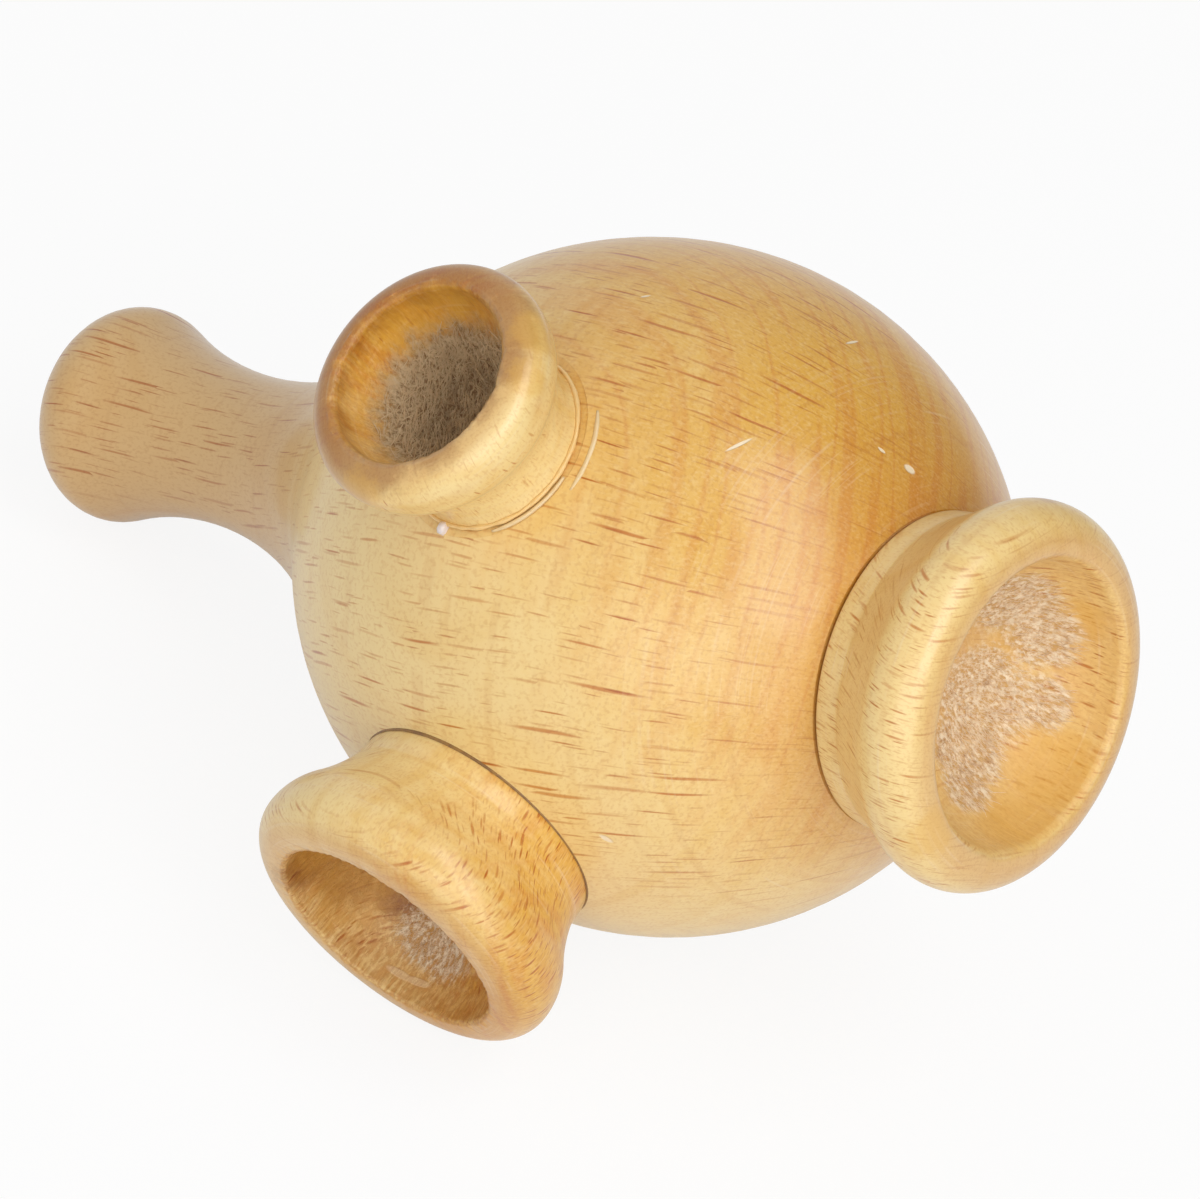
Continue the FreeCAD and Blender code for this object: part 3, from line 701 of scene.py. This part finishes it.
def cured_glue(name, colour, roughness):
    """Cured wood glue: it dried hard and clear over the wood, so it shows the wood's colour under a
    wet gloss."""
    mat, tree = new_material(name)
    coords = node(tree, "ShaderNodeTexCoord")
    in_mm = node(tree, MAPPING, INTO, Vector=coords.outputs["Object"], Scale=(MM, MM, MM))
    blots = node(tree, NOISE, Vector=in_mm, Scale=1.3, Detail=3.0)
    stained = node(tree, RANGE, SOFT, Value=blots, From_Min=0.35, From_Max=0.65, To_Max=0.2)
    amber = bpy.context.scene.cupped_ball_beech.amber
    shown = node(tree, MIX, OVER, Factor=stained, A=colour, B=amber)
    lumps = node(tree, MATH, MULTIPLY, _0=blots, _1=0.06)
    bump = node(tree, "ShaderNodeBump", Strength=1.0, Distance=MM, Height=lumps)
    shader = node(
        tree, "ShaderNodeBsdfPrincipled",
        Base_Color=shown, Roughness=roughness, IOR=1.48, Normal=bump,
        Coat_Weight=0.4, Coat_Roughness=0.05,
    )
    node(tree, "ShaderNodeOutputMaterial", Surface=shader)
    return mat


def dress(piece, material):
    piece.data.materials.clear()
    piece.data.materials.append(material)


def cup_value(cup, name):
    return getattr(bpy.context.scene.cupped_ball_cups, name)[CUPS.index(cup)]


def rim_height(cup):
    return cup_value(cup, "lip_height") + cup_value(cup, "over_round")


def bowl_wall(cup):
    """The centre and the radius of the sphere that a cup's bowl is a part of."""
    mouth, depth = cup_value(cup, "mouth_radius"), cup_value(cup, "bowl_depth")
    radius = (mouth**2 + depth**2) / (2 * depth)
    return Vector((0.0, 0.0, rim_height(cup) - depth + radius)), radius


def sweep(centre, radius, start, end, steps):
    """Points on an arc in the profile's plane, from one angle to another."""
    angles = [start + (end - start) * i / steps for i in range(steps + 1)]
    return [centre + Vector((radius * math.cos(a), radius * math.sin(a))) for a in angles]


def bearing(centre, point):
    return math.atan2(point.y - centre.y, point.x - centre.x)


def cup_profile(cup):
    """Half a cup from the spigot's end, up the flank, over the lip and down the bowl, as (radius,
    height)."""
    shared = bpy.context.scene.cupped_ball_cups
    spigot, length = cup_value(cup, "spigot_radius"), cup_value(cup, "spigot_length")
    foot, waist, lip = (cup_value(cup, n) for n in ("foot_radius", "waist_radius", "lip_radius"))
    lip_height, under, over = (
        cup_value(cup, n) for n in ("lip_height", "under_round", "over_round")
    )
    flank, soft = cup_value(cup, "flank_radius"), cup_value(cup, "mouth_round")

    # the flank's hollow arc runs through the collar's corner and touches the lip's under side
    corner = Vector((waist, shared.collar_height))
    under_centre = Vector((lip - under, lip_height))
    chord = under_centre - corner
    along = (flank**2 - (flank + under) ** 2 + chord.length**2) / (2 * chord.length)
    unit = chord.normalized()
    square = Vector((unit.y, -unit.x))
    flank_centre = corner + unit * along + square * math.sqrt(flank**2 - along**2)
    meet = flank_centre.lerp(under_centre, flank / (flank + under))
    first, last = bearing(flank_centre, corner) % math.tau, bearing(flank_centre, meet) % math.tau

    broken_edge = 0.0001
    path = [
        Vector((0.0, -length)), Vector((spigot - shared.spigot_bevel, -length)),
        Vector((spigot, shared.spigot_bevel - length)), Vector((spigot, 0.0)),
        Vector((foot - broken_edge, 0.0)),
    ]
    # the foot's edge runs into the flank in a soft cove, not a step
    cove = shared.collar_height * 2.5
    above = [p for p in sweep(flank_centre, flank, first, last, 40) if p.y > cove]
    toe = Vector((foot, broken_edge))
    aim = Vector((above[0].x, toe.y + (above[0].y - toe.y) * 0.35))
    cove_steps = 8
    for i in range(cove_steps):
        t = i / cove_steps
        path.append(toe * (1 - t) ** 2 + aim * 2 * t * (1 - t) + above[0] * t**2)
    path += above
    path += sweep(under_centre, under, bearing(under_centre, meet), 0.0, 14)[1:]
    over_arc = sweep(Vector((lip - over, lip_height)), over, 0.0, math.pi / 2, 18)[1:]

    # the bowl meets the rim in a round that touches both
    middle, bowl = bowl_wall(cup)
    bowl_centre = Vector((0.0, middle.z))
    edge_y = rim_height(cup) - soft
    edge_x = math.sqrt((bowl + soft) ** 2 - (bowl_centre.y - edge_y) ** 2)
    edge_centre = Vector((edge_x, edge_y))
    touch = bowl_centre.lerp(edge_centre, bowl / (bowl + soft))
    path += [p for p in over_arc if p.x > edge_x]
    path += sweep(edge_centre, soft, math.pi / 2, bearing(edge_centre, touch) % math.tau, 10)
    path += sweep(bowl_centre, bowl, bearing(bowl_centre, touch), -math.pi / 2, 84)[1:]
    path[-1].x = 0.0
    return path


def displace(piece, name, strength, mid_level, grit=None, octaves=2, group=""):
    """Moves a piece's surface along its normals, evenly or by soft lumps as large as the grit."""
    swell = piece.modifiers.new(name, "DISPLACE")
    if grit:
        lumps = bpy.data.textures.new(name, "CLOUDS")
        lumps.noise_scale = grit
        lumps.noise_depth = octaves
        swell.texture = lumps
        swell.texture_coords = "LOCAL"
    swell.vertex_group = group
    swell.strength = strength
    swell.mid_level = mid_level
    bpy.ops.object.modifier_apply(modifier=swell.name)


def set_in_place(piece, place):
    """Moves a finished piece to its place and leaves its object at the origin, unturned."""
    piece.matrix_world = place
    bpy.context.view_layer.update()
    bpy.ops.object.transform_apply(location=True, rotation=True, scale=True)
    return piece


def turn_cup(cup):
    """Turns a cup from its profile, as on a lathe, and stands it in its place on the ball."""
    path = cup_profile(cup)
    bpy.ops.object.select_all(action="DESELECT")
    bpy.ops.mesh.primitive_plane_add(size=0.001, location=(0.0, 0.0, 0.0))
    piece = bpy.context.object
    piece.name = f"{cup}_cup_turned"
    bpy.ops.object.mode_set(mode="EDIT")
    bpy.ops.mesh.select_all(action="SELECT")
    bpy.ops.mesh.merge(type="CENTER")
    bpy.ops.transform.translate(value=(path[0].x, 0.0, path[0].y))
    for here, there in zip(path, path[1:]):
        step = (there.x - here.x, 0.0, there.y - here.y)
        bpy.ops.mesh.extrude_vertices_move(TRANSFORM_OT_translate={"value": step})
    bpy.ops.mesh.select_all(action="SELECT")
    bpy.ops.mesh.spin(
        steps=bpy.context.scene.cupped_ball_cups.sides,
        angle=math.tau, center=(0.0, 0.0, 0.0), axis=(0.0, 0.0, 1.0),
    )
    bpy.ops.mesh.select_all(action="SELECT")
    bpy.ops.mesh.remove_doubles(threshold=1e-6)
    bpy.ops.mesh.normals_make_consistent(inside=False)
    bpy.ops.object.mode_set(mode="OBJECT")
    wear_mouth(piece, cup)
    bpy.ops.object.shade_smooth_by_angle(angle=math.radians(40))
    return set_in_place(piece, cup_place(cup))


def wear_mouth(piece, cup):
    """Roughens the bowl and, most of all, its edge, where the fibres broke out."""
    rim, mouth = rim_height(cup), cup_value(cup, "mouth_radius")
    past_mouth, above_foot, fades_over, least = 0.0006, 0.0005, 0.003, 0.35
    group = piece.vertex_groups.new(name="worn")
    for vertex in piece.data.vertices:
        across = math.hypot(vertex.co.x, vertex.co.y)
        if across < mouth + past_mouth and vertex.co.z > above_foot:
            share = max(least, 1.0 - (rim - vertex.co.z) / fades_over)
            group.add([vertex.index], share, "REPLACE")
    for grit, share in ((0.0014, 0.5), (0.0005, 0.8)):
        displace(
            piece, f"{cup} torn fibres", cup_value(cup, "wear") * share, 0.5,
            grit=grit, octaves=3, group=group.name,
        )


def one_fibre():
    """A torn fibre one unit long on a unit-wide root: four-sided, bent and drawn out to a point."""
    bpy.ops.object.select_all(action="DESELECT")
    bpy.ops.mesh.primitive_circle_add(
        vertices=4, radius=0.5, fill_type="NGON", location=(0.0, 0.0, 0.0)
    )
    fibre = bpy.context.object
    bpy.ops.object.mode_set(mode="EDIT")
    bpy.ops.mesh.select_all(action="SELECT")
    for rise, lean, shrink in ((0.35, 0.5, 0.9), (0.35, 1.4, 0.75), (0.30, 2.0, 0.3)):
        bpy.ops.mesh.extrude_region_move(TRANSFORM_OT_translate={"value": (lean, 0.0, rise)})
        bpy.ops.transform.resize(value=(shrink, shrink, 1.0))
    bpy.ops.mesh.select_all(action="SELECT")
    bpy.ops.mesh.normals_make_consistent(inside=False)
    bpy.ops.object.mode_set(mode="OBJECT")
    return fibre


def stand_fibres(cup):
    """Stands copies of one torn fibre on the torn patches of a bowl, by seeded chance."""
    # none stands this close to the rim, or lies flatter on the wall, and each is rooted this deep
    clear_of_rim, least_rise, root_depth = 0.0018, 0.15, 0.00008
    bowl = BOWLS[cup]
    place = cup_place(cup)
    grown = Vector(bowl["lean"]).normalized()
    centre, radius = bowl_wall(cup)
    highest = rim_height(cup) - clear_of_rim
    follow, stand, stray = bowl["stance"]
    areas = [patch[3] ** 2 for patch in bowl["torn"]]
    dice = random.Random(7 + CUPS.index(cup))
    pattern = one_fibre()
    copies = []
    while len(copies) < cup_value(cup, "fibre_count"):
        *middle, reach = dice.choices(bowl["torn"], areas)[0]
        aim = Vector(m + dice.uniform(-1.0, 1.0) * reach for m in middle) * MM
        inward = (centre - aim).normalized()
        root = centre - inward * radius
        away = (root / MM - Vector(middle)).length
        if away > reach * dice.uniform(0.75, 1.0) or root.z > highest:
            continue
        chance = Vector(dice.gauss(0.0, 1.0) for _ in range(3))
        along = grown - inward * grown.dot(inward)
        way = along * follow + inward * stand + chance * stray
        if way.dot(inward) < least_rise:
            way += inward * (least_rise - way.dot(inward))
        spun = Matrix.Rotation(dice.uniform(0.0, math.tau), 4, "Z")
        turn = way.to_track_quat("Z", "X").to_matrix().to_4x4() @ spun
        thick = cup_value(cup, "fibre_thickness") * dice.uniform(0.7, 1.2)
        length = cup_value(cup, "fibre_length") * dice.uniform(0.45, 1.0)
        size = Matrix.Diagonal((thick, thick, length, 1.0))
        copy = pattern.copy()
        copy.data = pattern.data.copy()
        copy.data.transform(place @ Matrix.Translation(root - inward * root_depth) @ turn @ size)
        bpy.context.collection.objects.link(copy)
        copies.append(copy)
    bpy.data.objects.remove(pattern)
    bpy.ops.object.select_all(action="DESELECT")
    for copy in copies:
        copy.select_set(True)
    tuft = copies[0]
    bpy.context.view_layer.objects.active = tuft
    bpy.ops.object.join()
    tuft.name = f"{cup}_cup_torn_fibres"
    return tuft


def torn_fibres(name, cup):
    """Raw beech fibres that the tool tore up: dry and dull, painted paler near the mouth and darker
    brown at the bottom of the bowl, as painted light and shade."""
    beech = bpy.context.scene.cupped_ball_beech
    tip, pit = (getattr(beech, fibres) for fibres in BOWLS[cup]["fibres"])
    mat, tree = new_material(name)
    coords = node(tree, "ShaderNodeTexCoord")
    in_mm = node(tree, MAPPING, INTO, Vector=coords.outputs["Object"], Scale=(MM, MM, MM))
    patchy = node(tree, NOISE, Vector=in_mm, Scale=0.45, Detail=2.0)
    single = node(tree, NOISE, Vector=in_mm, Scale=4.0, Detail=2.0)
    both = node(tree, MATH, ADD, _0=patchy, _1=single)
    middle, wall = bowl_wall(cup)
    axis = cup_axis(cup)
    bottom = (cup_place(cup) @ (middle - UP * wall)).dot(axis) / MM
    # painted light and shade: fibres higher above the bowl's bottom are painted paler, deeper ones
    # darker
    level = node(tree, VECTOR, DOT, _0=in_mm, _1=axis)
    painted_pale_up = node(
        tree, RANGE, Value=level, From_Min=bottom + 0.6, From_Max=bottom + 3.2,
        To_Max=0.35 * BOWLS[cup]["depth_shade"],
    )
    both = node(tree, MATH, ADD, _0=both, _1=painted_pale_up)
    light = node(tree, RANGE, SOFT, Value=both, From_Min=0.5, From_Max=1.2)
    colour = node(tree, MIX, OVER, Factor=light, A=pit, B=tip)
    rough = node(tree, RANGE, Value=single, To_Min=0.7, To_Max=0.9)
    shader = node(
        tree, "ShaderNodeBsdfPrincipled", Base_Color=colour, Roughness=rough, IOR=1.5
    )
    node(tree, "ShaderNodeOutputMaterial", Surface=shader)
    return mat


def glue_level(reach):
    """How high the ball's surface lies above the small cup's foot, this far from the cup's axis."""
    return math.sqrt(BALL_RADIUS**2 - reach**2) - SEAT_HEIGHT["small"]


def glue_bead(name, reach, first, last, width):
    """A drawn-out bead of glue round the small cup's foot, half sunk in the ball: the distance from
    the cup's axis, the angles between which it runs, in degrees, and its width, in millimetres."""
    reach, width = reach * MM, width * MM
    bpy.ops.object.select_all(action="DESELECT")
    bpy.ops.mesh.primitive_circle_add(
        vertices=10, radius=width / 2, location=(reach, 0.0, glue_level(reach)),
        rotation=(math.pi / 2, 0.0, 0.0),
    )
    bead = bpy.context.object
    bead.name = name
    bpy.ops.object.transform_apply(location=True, rotation=True, scale=True)
    bpy.ops.object.mode_set(mode="EDIT")
    bpy.ops.mesh.select_all(action="SELECT")
    bpy.ops.mesh.spin(
        steps=max(4, round(abs(last - first) / 2)), angle=math.radians(last - first),
        center=(0.0, 0.0, 0.0), axis=(0.0, 0.0, 1.0),
    )
    bpy.ops.mesh.select_all(action="SELECT")
    bpy.ops.mesh.fill_holes(sides=12)
    bpy.ops.mesh.normals_make_consistent(inside=False)
    bpy.ops.object.mode_set(mode="OBJECT")
    # the bead swells and turns lumpy away from its ends, over a sixth of its length
    drawn = bead.vertex_groups.new(name="drawn out")
    span = abs(math.radians(last - first))
    for vertex in bead.data.vertices:
        passed = abs(math.atan2(vertex.co.y, vertex.co.x)) / span
        drawn.add([vertex.index], min(1.0, 6.0 * min(passed, 1.0 - passed)), "REPLACE")
    displace(bead, "swell", width * 0.4, 0.0, group=drawn.name)
    displace(bead, f"{name} lumps", width * 0.4, 0.5, grit=0.0011, group=drawn.name)
    bpy.ops.object.shade_smooth()
    return set_in_place(bead, cup_place("small") @ Matrix.Rotation(math.radians(first), 4, "Z"))


def squeezed_ring():
    """The glue that came out all round the small cup's foot: a low, uneven bead."""
    glue = bpy.context.scene.cupped_ball_glue
    bpy.ops.object.select_all(action="DESELECT")
    bpy.ops.mesh.primitive_torus_add(
        major_segments=240, minor_segments=12,
        major_radius=glue.ring_radius, minor_radius=glue.ring_thickness / 2,
        location=(0.0, 0.0, glue_level(glue.ring_radius)),
    )
    ring = bpy.context.object
    ring.name = "small_glue_squeezed"
    bpy.ops.object.transform_apply(location=True, rotation=True, scale=True)
    displace(ring, "squeezed glue", glue.ring_thickness * 0.6, 0.6, grit=0.0016)
    bpy.ops.object.shade_smooth()
    return set_in_place(ring, cup_place("small"))


def floor_paper(colour):
    """Matt paper: it takes soft shadows and shows them pale, as a brightly lit backdrop does."""
    mat, tree = new_material("matt paper")
    paths = node(tree, "ShaderNodeLightPath")
    mirrored = node(tree, MATH, MULTIPLY, _0=paths.outputs["Is Glossy Ray"], _1=0.45)
    seen = node(tree, MATH, MAXIMUM, _0=paths.outputs["Is Camera Ray"], _1=mirrored)
    share = node(tree, MATH, MULTIPLY, _0=seen, _1=0.88)
    paper = node(tree, "ShaderNodeBsdfDiffuse", Color=colour)
    glow = node(tree, "ShaderNodeEmission", Color=(1.0, 1.0, 1.0, 1.0), Strength=1.01)
    mix = node(tree, "ShaderNodeMixShader", _0=share, _1=paper, _2=glow)
    node(tree, "ShaderNodeOutputMaterial", Surface=mix)
    return mat


def studio_sky(strength):
    """Soft light from all round, with a dark cloth on the right, so that the ball's edge keeps its
    colour there."""
    world = bpy.data.worlds.new("studio")
    world.use_nodes = True
    tree = world.node_tree
    tree.nodes.clear()
    paths = node(tree, "ShaderNodeLightPath")
    camera_ray = paths.outputs["Is Camera Ray"]
    mirrored = node(tree, MATH, MULTIPLY, _0=paths.outputs["Is Glossy Ray"], _1=0.9)
    shown = node(tree, MATH, MAXIMUM, _0=camera_ray, _1=mirrored)
    light = node(tree, MIX, {"data_type": "FLOAT"}, Factor=shown, A=strength, B=1.0)
    coords = node(tree, "ShaderNodeTexCoord")
    right = node(tree, VECTOR, DOT, _0=coords.outputs["Generated"], _1=(0.72, 0.67, 0.20))
    cloth = node(
        tree, RANGE, SOFT, Value=right, From_Min=0.1, From_Max=0.75, To_Min=1.0, To_Max=0.3
    )
    bare = node(tree, MATH, MAXIMUM, _0=cloth, _1=camera_ray)
    light = node(tree, MATH, MULTIPLY, _0=light, _1=bare)
    sky = node(tree, "ShaderNodeBackground", Strength=light)
    node(tree, "ShaderNodeOutputWorld", Surface=sky)
    return world


class CUPPEDBALL_OT_body(bpy.types.Operator):
    """Finish the ball, neck and knob as varnished beech"""

    bl_idname = "cupped_ball.body"
    bl_label = "Finish the Body"

    def execute(self, context):
        wood = varnished_beech("varnished beech, body", "body", BODY_PLACE)
        dress(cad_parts["turned_body"], wood)
        return {"FINISHED"}


class CUPPEDBALL_OT_cup(bpy.types.Operator):
    """Turn one hollow cup, with a torn, unvarnished bowl"""

    bl_idname = "cupped_ball.cup"
    bl_label = "Turn a Cup"

    cup: EnumProperty(
        name="Cup", description="Which cup to turn",
        items=[(cup, cup.title(), f"The {cup} cup") for cup in CUPS],
    )

    def execute(self, context):
        cup = self.cup
        piece = turn_cup(cup)
        dress(piece, varnished_beech(f"varnished beech, {cup} cup", cup, cup_place(cup)))
        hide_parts(f"{cup}_cup")
        tuft = stand_fibres(cup)
        dress(tuft, torn_fibres(f"raw beech fibres, {cup} cup", cup))
        for made in (piece, tuft):
            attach(made, "root")
        return {"FINISHED"}


class CUPPEDBALL_OT_glue(bpy.types.Operator):
    """Finish the glue round each cup's foot"""

    bl_idname = "cupped_ball.glue"
    bl_label = "Finish the Glue"

    def execute(self, context):
        glue = context.scene.cupped_ball_glue
        for cup in ("large", "medium"):
            # the glue at these joints is painted dark brown
            joint_glue = cured_glue(f"cured glue, {cup} cup", glue.joint_brown, 0.7)
            dress(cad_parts[f"{cup}_glue"], joint_glue)
        ring = squeezed_ring()
        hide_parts("small_glue")
        drawn = cured_glue("cured glue, drawn out", glue.clear, 0.2)
        dried = cured_glue("cured glue, dried pale", glue.pale, 0.4)
        for piece, finish in (
            (ring, cured_glue("cured glue, small cup", glue.seeped, 0.25)),
            (glue_bead("glue_thread", 8.75, -12.0, -56.0, 0.24), drawn),
            (glue_bead("glue_smear", 7.75, -60.0, -112.0, 0.20), drawn),
            (glue_bead("glue_drop", 7.65, -96.0, -101.0, 0.60), dried),
        ):
            dress(piece, finish)
            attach(piece, "root")
        return {"FINISHED"}


class CUPPEDBALL_OT_stage(bpy.types.Operator):
    """Lay the floor, hang the lights and place the camera"""

    bl_idname = "cupped_ball.stage"
    bl_label = "Set the Stage"

    def execute(self, context):
        stage = context.scene.cupped_ball_stage
        bpy.ops.object.select_all(action="DESELECT")
        bpy.ops.mesh.primitive_plane_add(size=3.0, location=(0.0, 0.0, 0.0))
        floor = context.object
        floor.name = "floor"
        dress(floor, floor_paper(stage.paper))
        context.scene.world = studio_sky(stage.sky)

        # a tall window to the upper right, whose reflection shows on the ball, and a broad fill
        for name, power, spot, length, width, height in (
            (
                "window", stage.window_power, (0.63, -0.09, 0.85), (0.667, -0.487, -0.561),
                1.07, 0.48,
            ),
            ("fill", stage.fill_power, (0.78, -0.72, 0.30), (0.67, 0.74, 0.0), 1.2, 0.9),
        ):
            bpy.ops.object.light_add(type="AREA", location=spot)
            lamp = context.object
            lamp.name = name
            lamp.data.shape = "RECTANGLE"
            lamp.data.size = width
            lamp.data.size_y = height
            lamp.data.energy = power
            lamp.rotation_euler = upright(Vector(spot) - BALL_CENTRE, Vector(length)).to_euler()

        bpy.ops.object.camera_add(
            location=(0.215385, -0.294481, 0.277040),
            rotation=(math.radians(54.3385), math.radians(-11.4821), math.radians(42.9405)),
        )
        camera = context.object
        camera.name = "camera"
        camera.data.sensor_fit = "HORIZONTAL"
        camera.data.sensor_width = 36.0
        camera.data.lens = 168.0
        camera.data.clip_start = 0.01
        context.scene.camera = camera
        context.scene.view_settings.view_transform = "Standard"
        return {"FINISHED"}


class CUPPEDBALL_PT_panel(bpy.types.Panel):
    """The steps, in order"""

    bl_idname = "CUPPEDBALL_PT_panel"
    bl_label = "Cupped Ball"
    bl_space_type = "VIEW_3D"
    bl_region_type = "UI"
    bl_category = "Cupped Ball"

    def draw(self, context):
        column = self.layout.column()
        column.operator("cupped_ball.body")
        for cup in CUPS:
            column.operator("cupped_ball.cup", text=f"Turn the {cup.title()} Cup").cup = cup
        column.operator("cupped_ball.glue")
        column.operator("cupped_ball.stage")


SETTINGS = {
    "cupped_ball_beech": BeechSettings,
    "cupped_ball_cups": CupSettings,
    "cupped_ball_glue": GlueSettings,
    "cupped_ball_stage": StageSettings,
}
CLASSES = (
    *SETTINGS.values(),
    CUPPEDBALL_OT_body,
    CUPPEDBALL_OT_cup,
    CUPPEDBALL_OT_glue,
    CUPPEDBALL_OT_stage,
    CUPPEDBALL_PT_panel,
)


def register():
    for item in CLASSES:
        bpy.utils.register_class(item)
    for name, group in SETTINGS.items():
        setattr(bpy.types.Scene, name, PointerProperty(type=group))


def unregister():
    for name in SETTINGS:
        delattr(bpy.types.Scene, name)
    for item in reversed(CLASSES):
        bpy.utils.unregister_class(item)


def main():
    register()
    bpy.ops.cupped_ball.body()
    for cup in CUPS:
        bpy.ops.cupped_ball.cup(cup=cup)
    bpy.ops.cupped_ball.glue()
    bpy.ops.cupped_ball.stage()


if __name__ == "__main__":
    main()
